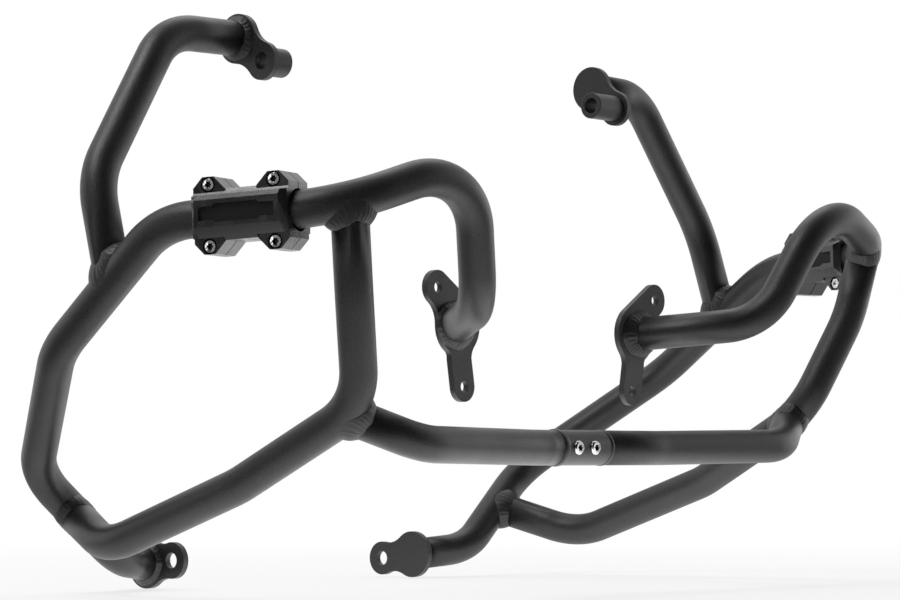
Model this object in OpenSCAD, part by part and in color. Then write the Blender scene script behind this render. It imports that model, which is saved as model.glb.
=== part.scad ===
// Engine crash bars for a motorcycle: a left and a right welded tube guard, joined by a
// screwed sleeve in front of the engine, with a clamped slider block on each side.
// Millimetres. X runs across the motorcycle (+X is the rider's left), Y to the rear, Z up.
// The origin is midway between the two upper bolt holes of the front plates, on the face
// that the frame touches. Each piece is drawn for the left side and mirrored for the right.

/* [Tubes] */
// Outside diameter of every guard tube
tube_d = 27; // [22:0.5:32]
// Wall of the guard tubes
tube_wall = 2; // [1.5:0.1:3]
// Leg of the weld beads between two tubes
weld_leg = 4; // [2:0.5:6]
// Leg of the weld beads between a tube and a plate
plate_weld = 4.5; // [3:0.5:6]

/* [Main tube, corner by corner from the front plate] */
// Half the width over the tube axes, at the widest corner
half_width = 368; // [330:1:400]
// Where the tube meets the front plate: across and up
front_end = [113, -28]; // [-200:1:200]
// Corner below the front hoop
main_1 = [176, -82, -19]; // [-400:1:400]
// Corner at the top of the front hoop
main_2 = [221, -114, 82]; // [-400:1:400]
// Outer front corner, above the lower tube
main_3 = [332, -89, 44]; // [-400:1:400]
// Rear and height of the outer top corner
main_4 = [47, 38]; // [-400:1:400]
// Outer rear corner
main_5 = [363, 161, -50]; // [-400:1:400]
// Corner above the rear foot
main_6 = [289, 269, -139]; // [-400:1:400]
// Corner of the rear foot
main_7 = [208, 263, -207]; // [-400:1:400]
// Bend radii at corners 1 to 7
main_bends = [55, 55, 70, 75, 80, 60, 50]; // [45:1:120]

/* [Lower tube] */
// Where the top end starts along the main tube's outer front bend, as a share of that bend
lower_start_share = 0.38; // [0.3:0.01:0.5]
// Slight bend below the top end
lower_1 = [304, -78, -10]; // [-400:1:400]
// Corner where the cross tube starts
lower_2 = [270, -53, -91]; // [-400:1:400]
// Slight bend along the bottom
lower_3 = [281, 57, -148]; // [-400:1:400]
// Rear corner
lower_4 = [282, 195, -195]; // [-400:1:400]
// Rear end, on the main tube between its corners 6 and 7
lower_end = [252, 267, -171]; // [-400:1:400]
// Bend radii
lower_bends = [130, 60, 85, 65]; // [45:1:150]

/* [Cross tube and coupling] */
// Where the cross tube starts along the lower tube's corner bend, as a share of that bend
cross_start_share = 0.75; // [0.65:0.01:0.85]
// Corner under the front of the engine
cross_1 = [220, -67, -118]; // [-400:1:400]
// Distance from the middle to the slight bend
cross_2_x = 75; // [72:1:120]
// Rear and height of the coupling's axis
coupling_yz = [-51, -120]; // [-200:1:0]
// Bend radii
cross_bends = [50, 120]; // [45:1:150]
// Length of the sleeve on the right half
sleeve_l = 51; // [40:1:55]
// Diameter of the spigot that slides into the sleeve
spigot_d = 20; // [16:0.5:21]
// Distance between the two coupling screws
coupling_pitch = 20; // [16:1:24]

/* [Upper rear arm] */
// How far along the main tube from corner 4 to corner 5 the arm starts, as a share
arm_start_share = 0.456; // [0.4:0.01:0.55]
// Lower corner of the arm
arm_1 = [364, 121, 74]; // [-400:1:400]
// Upper corner of the arm
arm_2 = [284, 132, 190]; // [-400:1:400]
// Inner face of the upper rear plate, and the rear and height of its disc
arm_end = [212, 125, 190]; // [-400:1:400]
// Bend radii
arm_bends = [70, 47]; // [45:1:120]

/* [Front plates] */
// Distance between the two upper holes
front_upper_pitch = 266; // [240:1:290]
// Distance between the two lower holes
front_lower_pitch = 206; // [180:1:230]
// Height of the upper holes above the lower ones
front_hole_drop = 74; // [66:1:82]
// Thickness of all the plates
plate_t = 5; // [4:0.5:6]
// Diameter of the front bolt holes
front_hole_d = 8.5; // [6.5:0.1:10.5]
// Radius of the ears around the front bolt holes
front_ear_r = 13; // [11:0.5:15]

/* [Rear plates] */
// Radius of the disc that closes the arm
upper_disc_r = 19; // [17:0.5:22]
// Bolt hole of the upper rear plate: forward of and below the disc's centre
upper_hole_offset = [-26, -19]; // [-40:1:40]
// Bolt hole through the upper rear plate and its spacer
upper_hole_d = 13; // [10.5:0.1:13]
// Outside diameter of the spacers
spacer_d = 22; // [20:0.5:24]
// Length of the spacer on the right side
spacer_right_l = 18; // [10:1:40]
// Length of the spacer on the left side
spacer_left_l = 32; // [10:1:40]
// Inner face of the lower rear plate, and the rear and height of its disc
foot = [156, 282, -212]; // [-400:1:400]
// Radius of the disc that closes the foot
lower_disc_r = 20; // [18:0.5:23]
// Bolt hole of the right foot, rearward of and above the disc's centre
foot_hole_right = [-29, 3]; // [-45:1:45]
// Bolt hole of the left foot, rearward of and above the disc's centre
foot_hole_left = [35, -4]; // [-45:1:45]
// Diameter of the lower rear bolt holes
foot_hole_d = 12.5; // [10.5:0.1:12.5]
// Radius of the ears of the rear plates
rear_ear_r = 14.5; // [13:0.5:16]

/* [Slider block] */
// Distance from the outer front corner to the middle of the block, along the tube
slider_at = 68; // [62:1:80]
// Length of the block
slider_l = 76; // [64:1:90]
// Half the height of the block's body
slider_half_h = 18; // [17.5:0.5:22]
// Height of the outer face above the tube's axis
slider_face = 22; // [20:0.5:26]
// Distance between the screws along the tube
slider_pitch = 52; // [44:1:60]
// Distance between the screws across the tube
slider_span = 43; // [42:0.5:50]
// Wall of the rubber liner
liner_wall = 1.4; // [1:0.1:3]

/* [Hidden] */
$fn = 96;
tube_r = tube_d / 2;
bore_r = tube_r - tube_wall;
fit_gap = 0.1;
cut = 1;
// Bends are drawn a hair thicker than the straights, which run a little way into them
bend_swell = 0.05;
lap = 1;
run_out = 25;
// How far the lower and cross tubes start from the axis of the tube that they meet
lower_start_shift = [-0.5, 0, -2];
cross_start_shift = [0.8, 0.7, 0.9];
// The beads stand a little less far out from the branch than from the tube that it meets
bead_taper = 0.3;
// Rounded outlines run this far into each other, so that they join without a seam
hair = 0.02;
left = 1;
right = -1;

front_plane = -plate_t;
main_0 = [front_end[0], front_plane, front_end[1]];
main_4p = [half_width, main_4[0], main_4[1]];
foot_outer = foot + [plate_t, 0, 0];
main_path = [beyond(main_1, main_0, run_out), main_1, main_2, main_3, main_4p, main_5, main_6,
    main_7, beyond(main_7, foot_outer, run_out)];
lower_0 = on_bend(main_path, main_bends, 3, lower_start_share) + lower_start_shift;
lower_path = [lower_0, lower_1, lower_2, lower_3, lower_4, lower_end];
cross_0 = on_bend(lower_path, lower_bends, 2, cross_start_share) + cross_start_shift;
coupling = [0, coupling_yz[0], coupling_yz[1]];
cross_2 = [cross_2_x, coupling_yz[0], coupling_yz[1]];
arm_start = main_4p + (main_5 - main_4p) * arm_start_share;
arm_outer = arm_end + [plate_t, 0, 0];
arm_path = [arm_start, arm_1, arm_2, beyond(arm_2, arm_outer, run_out)];

front_hole_top = [front_upper_pitch / 2, 0];
front_hole_low = [front_lower_pitch / 2, -front_hole_drop];
front_inner_pad = [front_end[0] - 15, front_end[1] + 2];
front_outer_pad = [front_end[0] + 6, front_end[1] - 2];
front_pad_r = 20;
front_low_ear_r = front_ear_r - 0.5;
waist_r = 60;
rear_waist_r = 22;
upper_ear = [arm_end[1] + upper_hole_offset[0], arm_end[2] + upper_hole_offset[1]];

screw_6_r = 3;
coupling_head_r = 5.25;
coupling_head_h = 3.3;
coupling_screw_x = [-40, -40 + coupling_pitch];
coupling_seat = tube_r - 1.2;
sleeve_bore_r = spigot_d / 2 + fit_gap;
spigot_l = sleeve_l - 4;
plug_l = 24;
neck_l = 14;

slider_gap = 0.8;
slider_chamfer = 6;
slider_bore_r = tube_r + liner_wall + fit_gap;
slider_relief = 16;
slider_relief_r = slider_bore_r + 1.4;
lug_top = 9;
lug_out = slider_span / 2 + 5.5;
lug_front = 14;
lug_back = 12;
slider_back = 20;
screw_5_r = 2.5;
cap_head_r = 4.25;
cap_head_h = 5;
nut_af = 8;
nut_h = 4;
panel_deep = 1.2;
slider_dir = unit(main_4p - main_3);
slider_out = unit(cross(slider_dir, [0, 0, 1]));
slider_up = cross(slider_out, slider_dir);
slider_mid = main_3 + slider_dir * slider_at;

function unit(v) = v / norm(v);
function beyond(a, b, d) = b + unit(b - a) * d;
// Half the angle that the tube turns at corner b, and the straight that the bend uses up
function half_turn(a, b, c) = acos(max(-1, min(1, unit(b - a) * unit(c - b)))) / 2;
function bend_run(a, b, c, r) = r * tan(half_turn(a, b, c));
// End points of the straight run i of a bent path
function run_start(path, bends, i) = i == 0 ? path[0] : path[i]
    + unit(path[i + 1] - path[i]) * bend_run(path[i - 1], path[i], path[i + 1], bends[i - 1]);
function run_end(path, bends, i) = i == len(path) - 2 ? path[i + 1] : path[i + 1]
    - unit(path[i + 1] - path[i]) * bend_run(path[i], path[i + 1], path[i + 2], bends[i]);

// Point of the axis on the bend at corner i of a path, at a share of that bend's length
function on_bend(path, bends, i, share) = let (
    a = path[i - 1],
    b = path[i],
    c = path[i + 1],
    half = half_turn(a, b, c),
    turn = half * (2 * share - 1),
    inward = unit(unit(c - b) - unit(b - a)),
    along = unit(unit(c - b) + unit(b - a)),
    r = bends[i - 1]
) b + inward * r / cos(half) - inward * r * cos(turn) + along * r * sin(turn);

module on_side(side) {
    if (side == left) children();
    else mirror([1, 0, 0]) children();
}

// Puts the children's Z axis along the direction z, and their X axis as near to x as it can be
module aim(place, z, x) {
    zz = unit(z);
    yy = unit(cross(zz, x));
    xx = cross(yy, zz);
    multmatrix([
        [xx[0], yy[0], zz[0], place[0]],
        [xx[1], yy[1], zz[1], place[1]],
        [xx[2], yy[2], zz[2], place[2]],
        [0, 0, 0, 1]
    ]) children();
}

// A round bar from a to b, longer by the given amounts at its two ends
module bar(a, b, r, before, after) {
    d = b - a;
    side_x = abs(unit(d)[2]) < 0.9 ? [0, 0, 1] : [1, 0, 0];
    aim(a - unit(d) * before, d, side_x) cylinder(h = norm(d) + before + after, r = r);
}

// The bend at corner b between a and c: a part turn of a disc about the bend's centre
module bend(a, b, c, bend_r, r) {
    u = unit(b - a);
    w = unit(c - b);
    half = half_turn(a, b, c);
    inward = unit(w - u);
    centre = b + inward * bend_r / cos(half);
    aim(centre, cross(u, w), -inward)
        rotate([0, 0, -half]) rotate_extrude(angle = 2 * half) translate([bend_r, 0])
            circle(r = r + bend_swell);
}

// The full round of a stretch of a bent path, from straight run first to straight run last
module round_stretch(path, bends, first, last, r, extra) {
    for (i = [first : last])
        bar(run_start(path, bends, i), run_end(path, bends, i), r,
            i == 0 ? extra : lap, i == len(path) - 2 ? extra : lap);
    if (last > first) for (i = [first + 1 : last])
        bend(path[i - 1], path[i], path[i + 1], bends[i - 1], r);
}

module bent_tube(path, bends) {
    difference() {
        round_stretch(path, bends, 0, len(path) - 2, tube_r, 0);
        round_stretch(path, bends, 0, len(path) - 2, bore_r, cut);
    }
}

module main_front_round(r) { bend(main_2, main_3, main_4p, main_bends[2], r); }
module main_arm_round(r) { round_stretch(main_path, main_bends, 4, 4, r, 0); }
module main_foot_round(r) { round_stretch(main_path, main_bends, 6, 6, r, 0); }
module lower_corner_round(r) { round_stretch(lower_path, lower_bends, 1, 2, r, 0); }

// Blocks that trim the tube ends flush with the outer faces of the plates
module front_trim() {
    translate(main_0 + [0, run_out, 0]) cube([3 * tube_d, 2 * run_out, 3 * tube_d], center = true);
}
module side_trim(p) {
    translate(p - [run_out, 0, 0]) cube([2 * run_out, 3 * tube_d, 3 * tube_d], center = true);
}

module main_tube() {
    color("#2b2c2d") difference() {
        bent_tube(main_path, main_bends);
        front_trim();
        side_trim(foot_outer);
    }
}

module lower_tube() {
    color("#2b2c2d") difference() {
        bent_tube(lower_path, lower_bends);
        main_front_round(tube_r);
        main_foot_round(tube_r);
    }
}

// The cross tube ends against the sleeve on the right half, and at the middle on the left half
module cross_tube(inner_end) {
    path = [cross_0, cross_1, cross_2, [inner_end, coupling[1], coupling[2]]];
    color("#2b2c2d") difference() {
        bent_tube(path, cross_bends);
        lower_corner_round(tube_r);
    }
}

module upper_rear_arm() {
    color("#2b2c2d") difference() {
        bent_tube(arm_path, arm_bends);
        main_arm_round(tube_r);
        side_trim(arm_outer);
    }
}

// Where the straight tangent to two lobes leaves the lobe of radius ra at a
function tangent_point(a, ra, b, rb, side) = let (
    turn = atan2(b[1] - a[1], b[0] - a[0]),
    lean = side * acos((ra - rb) / norm(b - a))
) a + (ra - hair) * [cos(turn + lean), sin(turn + lean)];

// Centre of the circle of radius r that touches two lobes from outside
function waist_centre(a, ra, b, rb, r, side) = let (
    d = norm(b - a),
    turn = atan2(b[1] - a[1], b[0] - a[0]),
    ca = ra + r,
    cb = rb + r,
    open = side * acos((ca * ca + d * d - cb * cb) / (2 * ca * d))
) a + ca * [cos(turn + open), sin(turn + open)];

// The waisted outline of the rear plates: a disc and a smaller ear
module waisted(a, ra, b, rb, r) {
    waist = [for (side = [-1, 1]) waist_centre(a, ra, b, rb, r, side)];
    translate(a) circle(r = ra);
    translate(b) circle(r = rb);
    difference() {
        polygon([a, waist[0], b, waist[1]]);
        for (p = waist) translate(p) circle(r = r - hair);
    }
}

// Web between the four lobes of the front plate
module front_plate_web() {
    waist = [
        waist_centre(front_inner_pad, front_pad_r, front_hole_low, front_low_ear_r, waist_r, -1),
        waist_centre(front_outer_pad, front_pad_r, front_hole_low, front_low_ear_r, waist_r, 1)
    ];
    difference() {
        polygon([
            front_inner_pad,
            tangent_point(front_inner_pad, front_pad_r, front_hole_top, front_ear_r, 1),
            tangent_point(front_hole_top, front_ear_r, front_inner_pad, front_pad_r, -1),
            tangent_point(front_hole_top, front_ear_r, front_outer_pad, front_pad_r, 1),
            tangent_point(front_outer_pad, front_pad_r, front_hole_top, front_ear_r, -1),
            front_outer_pad, waist[1], front_hole_low, waist[0]
        ]);
        for (p = waist) translate(p) circle(r = waist_r - hair);
    }
}

module front_plate() {
    color("#303132") rotate([90, 0, 0]) difference() {
        union() {
            linear_extrude(height = plate_t) front_plate_web();
            for (p = [front_inner_pad, front_outer_pad])
                translate(p) cylinder(h = plate_t, r = front_pad_r);
            translate(front_hole_top) cylinder(h = plate_t, r = front_ear_r);
            translate(front_hole_low) cylinder(h = plate_t, r = front_low_ear_r);
        }
        for (p = [front_hole_top, front_hole_low]) translate([p[0], p[1], -cut])
            cylinder(h = plate_t + 2 * cut, d = front_hole_d);
    }
}

// Lays an outline drawn in Y and Z on the plane X = x and gives it the plates' thickness
module upright_plate(x) {
    multmatrix([[0, 0, 1, x], [1, 0, 0, 0], [0, 1, 0, 0], [0, 0, 0, 1]])
        linear_extrude(height = plate_t) children();
}

module upper_rear_plate() {
    disc = [arm_end[1], arm_end[2]];
    color("#303132") upright_plate(arm_end[0]) difference() {
        waisted(disc, upper_disc_r, upper_ear, rear_ear_r, rear_waist_r);
        translate(upper_ear) circle(d = upper_hole_d);
    }
}

module spacer(l) {
    color("#343536") translate([arm_end[0], upper_ear[0], upper_ear[1]]) rotate([0, -90, 0])
        difference() {
            cylinder(h = l, d = spacer_d);
            translate([0, 0, -cut]) cylinder(h = l + 2 * cut, d = upper_hole_d);
        }
}

module lower_rear_plate(offset_yz) {
    disc = [foot[1], foot[2]];
    ear = disc + offset_yz;
    color("#303132") upright_plate(foot[0]) difference() {
        waisted(disc, lower_disc_r, ear, rear_ear_r, rear_waist_r);
        translate(ear) circle(d = foot_hole_d);
    }
}

// Bead around the end of a branch tube: what lies within a weld leg of both tubes
module branch_bead(a, b, reach) {
    difference() {
        intersection() {
            bar(a, b, tube_r + weld_leg - bead_taper, 0, reach - norm(b - a));
            children(0);
        }
        bar(a, b, tube_r, tube_r, reach + cut - norm(b - a));
        children(1);
    }
}

module lower_front_weld() {
    color("#2a2b2c") branch_bead(lower_0, lower_1, 30) {
        main_front_round(tube_r + weld_leg);
        main_front_round(tube_r);
    }
}

module lower_rear_weld() {
    color("#2a2b2c") branch_bead(lower_end, lower_4, 50) {
        main_foot_round(tube_r + weld_leg);
        main_foot_round(tube_r);
    }
}

module rear_arm_weld() {
    color("#2a2b2c") branch_bead(arm_start, arm_1, 50) {
        main_arm_round(tube_r + weld_leg);
        main_arm_round(tube_r);
    }
}

module cross_tube_weld() {
    color("#2a2b2c") branch_bead(cross_0, cross_1, 40) {
        lower_corner_round(tube_r + weld_leg);
        lower_corner_round(tube_r);
    }
}

// Bead around a tube that runs from the point on a plate to b; the children are the layer
// over the plate that the weld fills
module plate_bead(point, b) {
    difference() {
        intersection() {
            bar(point, b, tube_r + plate_weld, run_out, 0);
            children();
        }
        bar(point, b, tube_r, run_out + cut, cut);
    }
}

module plate_welds() {
    layer = 4 * tube_d;
    color("#2a2b2c") {
        plate_bead(main_0, main_1) translate(main_0 - [0, plate_weld / 2, 0])
            cube([layer, plate_weld, layer], center = true);
        plate_bead(arm_outer, arm_2) translate(arm_outer + [plate_weld / 2, 0, 0])
            cube([plate_weld, layer, layer], center = true);
        plate_bead(foot_outer, main_7) translate(foot_outer + [plate_weld / 2, 0, 0])
            cube([plate_weld, layer, layer], center = true);
    }
}

// Hole or shank of a coupling screw, from the front of the sleeve towards its axis
module coupling_drill(x, r, from, to) {
    translate([x, coupling[1] - from, coupling[2]]) rotate([-90, 0, 0])
        cylinder(h = from - to, r = r);
}

// Round bar along X at the coupling's axis
module coupling_bar(x0, x1, r) {
    translate([x0, coupling[1], coupling[2]]) rotate([0, 90, 0]) cylinder(h = x1 - x0, r = r);
}

module coupling_sleeve() {
    color("#2b2c2d") difference() {
        union() {
            coupling_bar(-sleeve_l, 0, tube_r);
            coupling_bar(-sleeve_l - neck_l, -sleeve_l, bore_r - fit_gap);
        }
        coupling_bar(-sleeve_l - neck_l - cut, cut, sleeve_bore_r);
        for (x = coupling_screw_x) {
            coupling_drill(x, coupling_head_r + 0.3, tube_r + cut, coupling_seat);
            coupling_drill(x, screw_6_r + 0.3, tube_r, 0);
        }
    }
}

module coupling_spigot() {
    color("#77797a") difference() {
        union() {
            coupling_bar(-spigot_l, 0, spigot_d / 2);
            coupling_bar(0, plug_l, bore_r - fit_gap);
        }
        for (x = coupling_screw_x)
            coupling_drill(x, screw_6_r + 0.05, spigot_d, -spigot_d / 2 + 3);
    }
}

// Button head screws with a hexagon socket
module coupling_screws() {
    color("#c9cbcc") for (x = coupling_screw_x) difference() {
        union() {
            coupling_drill(x, screw_6_r, coupling_seat, -4);
            intersection() {
                coupling_drill(x, coupling_head_r, coupling_seat + coupling_head_h, coupling_seat);
                translate([x, coupling[1] - coupling_seat + 4.8, coupling[2]]) sphere(r = 8.1);
            }
        }
        translate([x, coupling[1] - coupling_seat - coupling_head_h - cut, coupling[2]])
            rotate([-90, 0, 0]) cylinder(h = coupling_head_h + cut - 1, d = 4 / cos(30), $fn = 6);
    }
}

// Slider block: the children's X runs rearward along the tube, Y up, Z outward from its axis
module at_slider() {
    multmatrix([
        [slider_dir[0], slider_up[0], slider_out[0], slider_mid[0]],
        [slider_dir[1], slider_up[1], slider_out[1], slider_mid[1]],
        [slider_dir[2], slider_up[2], slider_out[2], slider_mid[2]],
        [0, 0, 0, 1]
    ]) children();
}

module at_slider_screws() {
    for (x = [-1, 1], y = [-1, 1])
        translate([x * slider_pitch / 2, y * slider_span / 2, 0]) children();
}

// Body of one half: the length profile crossed with the section, so that every edge is bevelled
module slider_body(face) {
    c = slider_chamfer;
    h = slider_half_h;
    l = slider_l / 2;
    intersection() {
        rotate([90, 0, 90]) linear_extrude(height = slider_l, center = true)
            polygon([[-h, slider_gap / 2], [h, slider_gap / 2], [h, face - c], [h - c, face],
                [c - h, face], [-h, face - c]]);
        rotate([90, 0, 0]) linear_extrude(height = 3 * h, center = true)
            polygon([[-l, slider_gap / 2], [l, slider_gap / 2], [l, face - c], [l - c, face],
                [c - l, face], [-l, face - c]]);
    }
}

// Four trapezium lugs at the corners
module slider_lugs(depth) {
    x = slider_pitch / 2;
    l = slider_l / 2;
    slope = lug_out - slider_half_h;
    translate([0, 0, slider_gap / 2]) linear_extrude(height = depth - slider_gap / 2)
        for (sx = [-1, 1], sy = [-1, 1]) scale([sx, sy])
            polygon([[x - lug_top / 2 - slope, 0], [x - lug_top / 2 - slope, slider_half_h],
                [x - lug_top / 2, lug_out], [x + lug_top / 2, lug_out],
                [l, lug_out - (l - x - lug_top / 2)], [l, 0]]);
}

module slider_bore() {
    rotate([0, 90, 0]) {
        cylinder(h = slider_l + 2, r = slider_bore_r, center = true);
        for (end = [-1, 1]) translate([0, 0, end * (slider_l - slider_relief) / 2 + end * cut / 2])
            cylinder(h = slider_relief + cut, r = slider_relief_r, center = true);
    }
}

// Recessed panel on the outer face, wide in the middle and stepped down at the ends
module slider_panel() {
    a = slider_l / 2 - slider_chamfer - 2;
    b = a - 13;
    h = slider_half_h - slider_chamfer - 3;
    step = 2.5;
    translate([0, 0, slider_face - panel_deep]) linear_extrude(height = panel_deep + cut)
        polygon([[-a, step - h], [-b - step, step - h], [-b, -h], [b, -h], [b + step, step - h],
            [a, step - h], [a, h - step], [b + step, h - step], [b, h], [-b, h],
            [-b - step, h - step], [-a, h - step]]);
}

module slider_front() {
    color("#1b1c1d") at_slider() difference() {
        union() {
            slider_body(slider_face);
            slider_lugs(lug_front);
        }
        slider_bore();
        slider_panel();
        at_slider_screws() {
            cylinder(h = lug_front + cut, r = screw_5_r + 0.25);
            translate([0, 0, lug_front - cap_head_h])
                cylinder(h = slider_face, r = cap_head_r + 0.75);
        }
    }
}

module slider_back() {
    color("#1b1c1d") at_slider() difference() {
        rotate([180, 0, 0]) union() {
            slider_body(slider_back);
            slider_lugs(lug_back);
        }
        slider_bore();
        at_slider_screws() {
            translate([0, 0, -lug_back - cut]) cylinder(h = lug_back + cut, r = screw_5_r + 0.25);
            translate([0, 0, -slider_back - cut])
                cylinder(h = slider_back + cut - lug_back + nut_h, d = (nut_af + 0.3) / cos(30),
                    $fn = 6);
        }
    }
}

module slider_liner() {
    l = slider_l - 2 * slider_relief;
    color("#101112") at_slider() rotate([0, 90, 0]) difference() {
        cylinder(h = l, r = slider_bore_r - fit_gap, center = true);
        cylinder(h = l + cut, r = tube_r + 0.02, center = true);
    }
}

module slider_screws() {
    color("#c9cbcc") at_slider() at_slider_screws() difference() {
        union() {
            translate([0, 0, -lug_back + 1])
                cylinder(h = lug_back + lug_front - cap_head_h - 1, r = screw_5_r);
            translate([0, 0, lug_front - cap_head_h]) cylinder(h = cap_head_h, r = cap_head_r);
        }
        translate([0, 0, lug_front - 2.8]) cylinder(h = 4, d = 4 / cos(30), $fn = 6);
    }
}

module slider_nuts() {
    color("#9a9c9d") at_slider() at_slider_screws() translate([0, 0, -lug_back]) difference() {
        cylinder(h = nut_h, d = nut_af / cos(30), $fn = 6);
        translate([0, 0, -cut]) cylinder(h = nut_h + 2 * cut, r = screw_5_r + 0.03);
    }
}

on_side(right) main_tube();  // right_main_tube
on_side(left) main_tube();  // left_main_tube
on_side(right) lower_tube();  // right_lower_tube
on_side(left) lower_tube();  // left_lower_tube
on_side(right) cross_tube(sleeve_l);  // right_cross_tube
on_side(left) cross_tube(0);  // left_cross_tube
on_side(right) upper_rear_arm();  // right_upper_rear_arm
on_side(left) upper_rear_arm();  // left_upper_rear_arm
on_side(right) front_plate();  // right_front_plate
on_side(left) front_plate();  // left_front_plate
on_side(right) upper_rear_plate();  // right_upper_rear_plate
on_side(left) upper_rear_plate();  // left_upper_rear_plate
on_side(right) spacer(spacer_right_l);  // right_spacer
on_side(left) spacer(spacer_left_l);  // left_spacer
on_side(right) lower_rear_plate(foot_hole_right);  // right_lower_rear_plate
on_side(left) lower_rear_plate(foot_hole_left);  // left_lower_rear_plate
on_side(right) lower_front_weld();  // right_lower_front_weld
on_side(left) lower_front_weld();  // left_lower_front_weld
on_side(right) lower_rear_weld();  // right_lower_rear_weld
on_side(left) lower_rear_weld();  // left_lower_rear_weld
on_side(right) rear_arm_weld();  // right_rear_arm_weld
on_side(left) rear_arm_weld();  // left_rear_arm_weld
on_side(right) cross_tube_weld();  // right_cross_tube_weld
on_side(left) cross_tube_weld();  // left_cross_tube_weld
on_side(right) plate_welds();  // right_plate_welds
on_side(left) plate_welds();  // left_plate_welds
coupling_sleeve();
coupling_spigot();
coupling_screws();
on_side(right) slider_front();  // right_slider_front
on_side(left) slider_front();  // left_slider_front
on_side(right) slider_back();  // right_slider_back
on_side(left) slider_back();  // left_slider_back
on_side(right) slider_liner();  // right_slider_liner
on_side(left) slider_liner();  // left_slider_liner
on_side(right) slider_screws();  // right_slider_screws
on_side(left) slider_screws();  // left_slider_screws
on_side(right) slider_nuts();  // right_slider_nuts
on_side(left) slider_nuts();  // left_slider_nuts
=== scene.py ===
import math

import bmesh
import bpy
from mathutils import Matrix, Vector
from mathutils.bvhtree import BVHTree
from mathutils.geometry import intersect_line_plane


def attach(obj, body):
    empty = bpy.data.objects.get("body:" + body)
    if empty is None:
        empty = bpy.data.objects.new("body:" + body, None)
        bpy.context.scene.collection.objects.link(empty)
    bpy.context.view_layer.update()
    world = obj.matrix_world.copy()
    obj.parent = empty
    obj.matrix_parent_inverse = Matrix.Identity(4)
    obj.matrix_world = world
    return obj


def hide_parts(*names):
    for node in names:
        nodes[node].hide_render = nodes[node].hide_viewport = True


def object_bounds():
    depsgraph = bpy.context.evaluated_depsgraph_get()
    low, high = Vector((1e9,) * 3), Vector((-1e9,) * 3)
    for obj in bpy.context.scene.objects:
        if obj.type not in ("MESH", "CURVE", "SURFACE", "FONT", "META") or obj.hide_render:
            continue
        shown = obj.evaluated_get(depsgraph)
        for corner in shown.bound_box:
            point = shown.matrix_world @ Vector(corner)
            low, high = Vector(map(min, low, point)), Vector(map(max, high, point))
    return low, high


bl_info = {
    "name": "Motorcycle Crash Bars",
    "version": (1, 0, 0),
    "blender": (4, 5, 0),
    "location": "View3D > Sidebar > Crash Bars",
    "description": "Coated tube guards with rippled weld beads, plates, a screwed coupling and "
                   "slider blocks",
    "category": "Object",
}

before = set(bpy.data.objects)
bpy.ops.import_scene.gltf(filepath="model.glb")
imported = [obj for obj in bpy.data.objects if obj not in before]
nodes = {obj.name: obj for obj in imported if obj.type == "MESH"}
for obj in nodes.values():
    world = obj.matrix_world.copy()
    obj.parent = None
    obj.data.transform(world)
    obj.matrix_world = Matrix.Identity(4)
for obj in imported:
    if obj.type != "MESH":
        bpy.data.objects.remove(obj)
cad_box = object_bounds()

MM = 0.001
SIDES = {"left": 1, "right": -1}

# Corners of the left half's tubes in millimetres, with the bend radius at each corner between the ends
FRONT_PLATE_Y = -5
ARM_PLATE_X = 217
FOOT_PLATE_X = 161
MAIN_TUBE = ((113, -5, -28), (176, -82, -19), (221, -114, 82), (332, -89, 44), (368, 47, 38),
             (363, 161, -50), (289, 269, -139), (208, 263, -207), (161, 282, -212))
MAIN_BENDS = (55, 55, 70, 75, 80, 60, 50)
LOWER_TUBE = ((317, -86, 47), (304, -78, -10), (270, -53, -91), (281, 57, -148), (282, 195, -195),
              (252, 267, -171))
LOWER_BENDS = (130, 60, 85, 65)
CROSS_TUBE = ((273, -38, -96), (220, -67, -118), (75, -51, -120), (0, -51, -120))
CROSS_BENDS = (50, 120)
REAR_ARM = ((365.7, 99, -2.1), (364, 121, 74), (284, 132, 190), (217, 125, 190))
ARM_BENDS = (70, 47)
# Steps of a plate outline's rims and hollows in degrees, how many points a rim has if its lobe's joins
# cross before they reach it, and the points round a hole
RIM_STEP = 7
HOLLOW_STEP = 8
CROSSED_RIM = 40
HOLE_RING = 40
# Lobes of the left front plate, anticlockwise from the front: across, up, radius and the radius of
# the hollow before the next lobe, where 0 is a straight edge
FRONT_LOBES = ((133, 0, 13, 0), (108.5, -28, 23, 14), (106.5, -53, 11.6, 0), (103, -74, 11.6, 0),
               (106.5, -53, 11.6, 6), (108.5, -28, 23, 20))
FRONT_HOLES = ((133, 0, 4.25), (103, -74, 4.25))
PLATE_THICKNESS = 5
COUPLING_AXIS = (-51, -120)
SLEEVE_LENGTH = 51
COUPLING_SCREWS = (-40, -20)
COUPLING_SEAT = 12.3
# One half of a slider block, in the block's own directions: its section above the bore, the stations
# along it with their height limits, the ridges between the lugs, a lug and the recess. The screws
# stand at the four corners, and the back half is a little less deep than the front one
SLIDER_SPLIT = 0.4
SLIDER_SECTION = ((15.9, SLIDER_SPLIT), (15.9, 14.2), (14.3, 15.0), (13.7, 19.0), (10.2, 22),
                  (-8.6, 22), (-15.9, 15.9), (-15.9, SLIDER_SPLIT))
SLIDER_STATIONS = ((-38, 17), (-33.5, 22), (33.5, 22), (38, 17))
SLIDER_RIDGES = (
    ((18, SLIDER_SPLIT), (18, 12.8), (15.5, 14.4), (15, SLIDER_SPLIT)),
    ((-18, SLIDER_SPLIT), (-18, 14.1), (-15.5, 16.1), (-15, SLIDER_SPLIT)))
SLIDER_RIDGE_END = 13
SLIDER_LUG = ((12.5, 15.7), (12.5, 18), (21.5, 27), (30.5, 27), (38, 19.5), (38, 15.7))
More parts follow.
